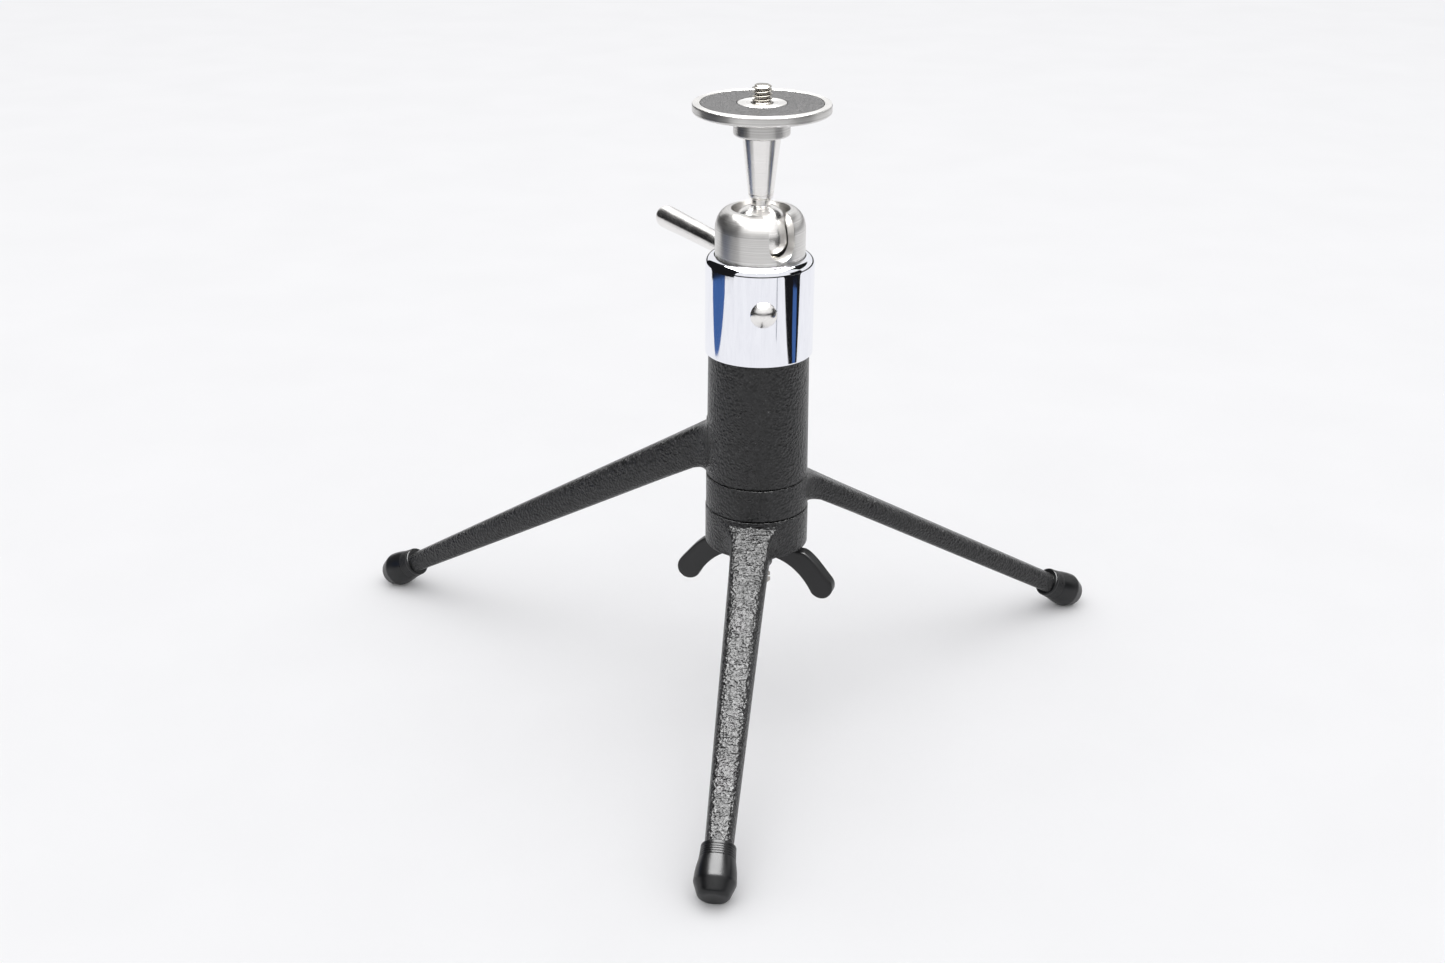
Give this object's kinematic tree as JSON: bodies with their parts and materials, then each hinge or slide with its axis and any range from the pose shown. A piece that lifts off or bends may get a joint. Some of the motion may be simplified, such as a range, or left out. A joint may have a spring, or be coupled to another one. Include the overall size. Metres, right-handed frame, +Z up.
{
  "type": "tabletop camera tripod",
  "caption": "Tabletop camera tripod: cast folding legs on a column, rubber feet, wing nut, and a lever-clamped ball head with a round camera platform and screw.",
  "frame": {"origin": "on the ground under the middle of the footprint's box, legs open", "axes": "+Z up along the column; -Y towards the leg on the lowest hub; +X to the right as seen with that leg in front"},
  "size_m": [0.2714, 0.2148, 0.2131],
  "materials": {
    "wrinkle_enamel": "black pebbled enamel on cast metal, semi-gloss",
    "black_paint": "smooth satin black paint",
    "rubber": "moulded, satin",
    "chrome_plate": "bright mirror plating",
    "turned_aluminium": "lathe turned, satin",
    "polished_aluminium": "polished, soft",
    "nickel_steel": "nickel plated, bright",
    "leather": "fine grained, matt",
    "fibre": "pressed fibre"
  },
  "bodies": {
    "stand": {"upper_leg": "wrinkle_enamel", "upper_leg_foot": "rubber", "spindle_bolt": "nickel_steel", "upper_friction_washer": "fibre", "lower_friction_washer": "fibre", "spring_washer": "nickel_steel", "nut_stop_ring": "nickel_steel", "stud_plate": "nickel_steel", "head_stud": "nickel_steel", "head_base": "turned_aluminium", "socket_housing": "turned_aluminium", "housing_screw_left": "nickel_steel", "housing_screw_right": "nickel_steel", "retaining_ring": "nickel_steel", "cup_spring": "nickel_steel"},
    "middle_leg": {"middle_leg": "wrinkle_enamel", "middle_leg_foot": "rubber"},
    "lower_leg": {"lower_leg": "wrinkle_enamel", "lower_leg_foot": "rubber"},
    "nut_washer": {"thrust_washer": "nickel_steel"},
    "wing_nut": {"wing_nut": "black_paint"},
    "clamp_ring": {"clamp_collar": "chrome_plate", "cam_ring": "nickel_steel", "front_pin": "polished_aluminium", "rear_pin": "polished_aluminium", "lever": "polished_aluminium"},
    "clamp_cup": {"thrust_cup": "turned_aluminium", "cross_pin": "nickel_steel"},
    "ball_stem": {"ball_stem": "polished_aluminium"},
    "platform": {"platform_disc": "turned_aluminium", "platform_pad": "leather", "camera_screw": "nickel_steel"}
  },
  "joints": [
    {"name": "middle_leg_swing", "type": "hinge", "parent": "stand", "child": "middle_leg", "pos_m": [0.00871, 0.01861, 0.079], "axis": [0, 0, 1], "range_deg": [0, 119]},
    {"name": "lower_leg_swing", "type": "hinge", "parent": "stand", "child": "lower_leg", "pos_m": [0.00871, 0.01861, 0.0665], "axis": [0, 0, 1], "range_deg": [-107, 0]},
    {"name": "wing_nut_turn", "type": "hinge", "parent": "nut_washer", "child": "wing_nut", "pos_m": [0.00871, 0.01861, 0.0545], "axis": [0, 0, 1], "range_deg": [-720, 0]},
    {"name": "nut_washer_slide", "type": "slide", "parent": "stand", "child": "nut_washer", "axis": [0, 0, -1], "range_m": [0, 0.0026]},
    {"name": "lever_turn", "type": "hinge", "parent": "stand", "child": "clamp_ring", "pos_m": [0.00871, 0.01861, 0.1434], "axis": [0, 0, 1], "range_deg": [0, 75]},
    {"name": "clamp_cup_slide", "type": "slide", "parent": "stand", "child": "clamp_cup", "axis": [0, 0, -1], "range_m": [0, 0.00085], "deforming": ["cup_spring"]},
    {"name": "stem_tilt", "type": "hinge", "parent": "stand", "child": "ball_stem", "pos_m": [0.00871, 0.01861, 0.1655], "axis": [0.8829, 0.4695, 0], "range_deg": [-25, 90]},
    {"name": "platform_spin", "type": "hinge", "parent": "ball_stem", "child": "platform", "pos_m": [0.00871, 0.01861, 0.2026], "axis": [0, 0, 1], "continuous": true}
  ],
  "couplings": [
    {"joint": "nut_washer_slide", "follows": "wing_nut_turn", "m_per_rad": -0.00019894},
    {"joint": "clamp_cup_slide", "follows": "lever_turn", "m_per_rad": 0.00061116}
  ]
}
